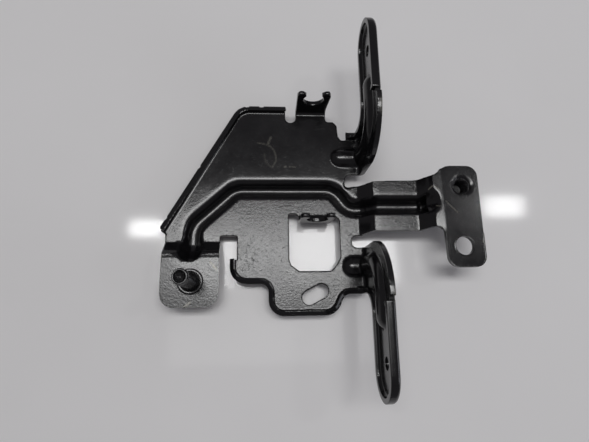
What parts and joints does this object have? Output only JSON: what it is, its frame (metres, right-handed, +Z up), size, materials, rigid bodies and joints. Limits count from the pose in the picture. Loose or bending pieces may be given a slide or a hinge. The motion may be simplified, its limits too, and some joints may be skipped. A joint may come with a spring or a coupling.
{
  "type": "radar mounting bracket",
  "caption": "Pressed steel sensor bracket: flanged base plate with a stiffening channel, window, stepped tabs, upright arms, cable forks, a weld stud and a clinch nut.",
  "frame": {"origin": "on the surface the bracket rests on, under the centre of its overall box", "axes": "+Z up from the resting surface, +X towards the offset end tab, +Y towards the long sloping edge"},
  "size_m": [0.1329, 0.1484, 0.042],
  "materials": {
    "coated_steel": "semi-gloss black dip coat with fine speckle",
    "coated_stud": "semi-gloss black dip coat over the thread",
    "nut_steel": "black dip coat, rough where clinched"
  },
  "bodies": {
    "root": {"stamped_bracket": "coated_steel", "weld_stud": "coated_stud", "clinch_nut": "nut_steel"}
  },
  "joints": []
}
